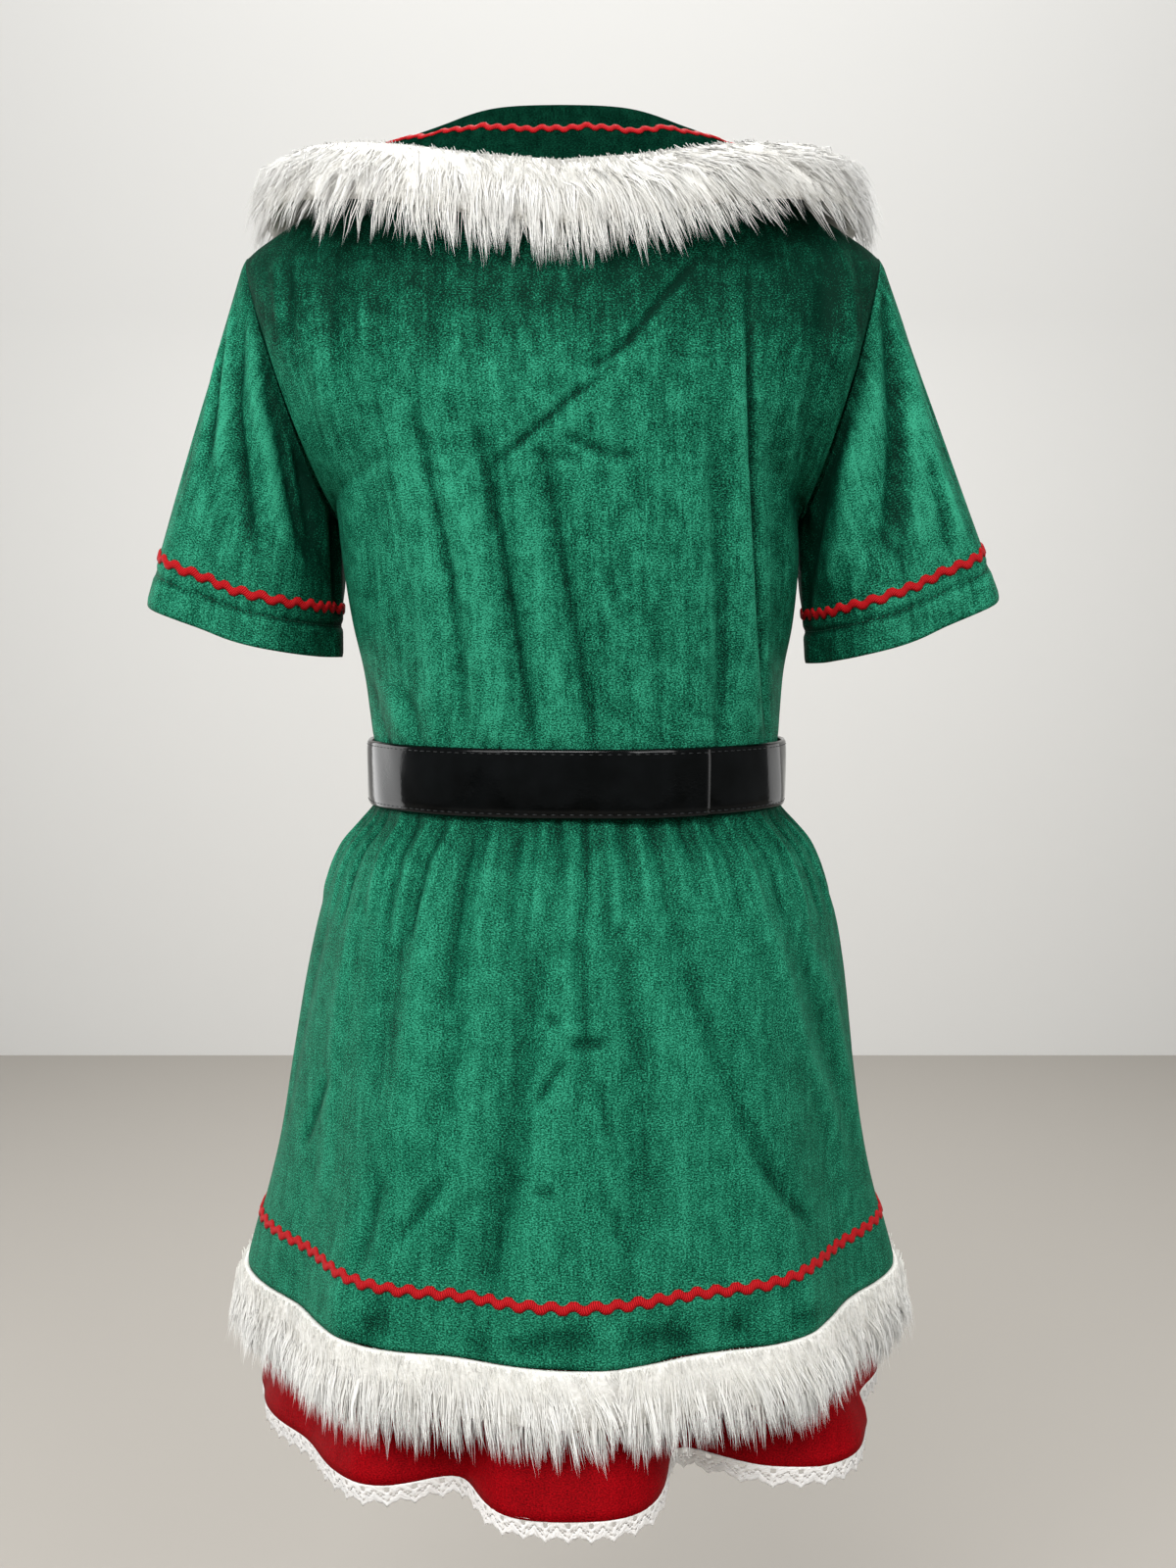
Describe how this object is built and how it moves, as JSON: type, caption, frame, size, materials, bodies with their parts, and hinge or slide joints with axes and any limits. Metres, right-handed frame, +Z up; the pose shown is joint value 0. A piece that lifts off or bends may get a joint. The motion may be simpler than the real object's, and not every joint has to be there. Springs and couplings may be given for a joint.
{
  "type": "elf costume dress",
  "caption": "Short-sleeved green velvet elf dress with a wide fur-trimmed collar, red ric-rac, a black belt, and a gathered skirt over a red lace-edged one, worn and hollow.",
  "frame": {"origin": "midway between the inner ends of the two shoulder seams, at the sides of the neck opening, where the wearer carries the dress", "axes": "+Z up, the front faces -Y, the back faces +Y, the wearer's left is +X"},
  "size_m": [0.5389, 0.3992, 0.7969],
  "materials": {
    "green_velvet": "crushed stretch velvet",
    "red_velvet": "smooth stretch velvet",
    "ricrac": "woven polyester braid",
    "faux_fur": "long acrylic pile",
    "lace": "open cotton lace",
    "patent_vinyl": "black patent, high gloss"
  },
  "bodies": {
    "root": {"bodice_back": "green_velvet", "bodice_front": "green_velvet", "sleeve_left": "green_velvet", "sleeve_right": "green_velvet", "collar": "green_velvet", "overskirt_back": "green_velvet", "overskirt_front": "green_velvet", "underskirt_back": "red_velvet", "underskirt_front": "red_velvet", "braid_collar": "ricrac", "braid_sleeve_left": "ricrac", "braid_sleeve_right": "ricrac", "braid_hem": "ricrac", "fur_collar_left": "faux_fur", "fur_collar_right": "faux_fur", "fur_hem_left": "faux_fur", "fur_hem_right": "faux_fur", "lace_hem": "lace", "belt": "patent_vinyl"}
  },
  "joints": []
}
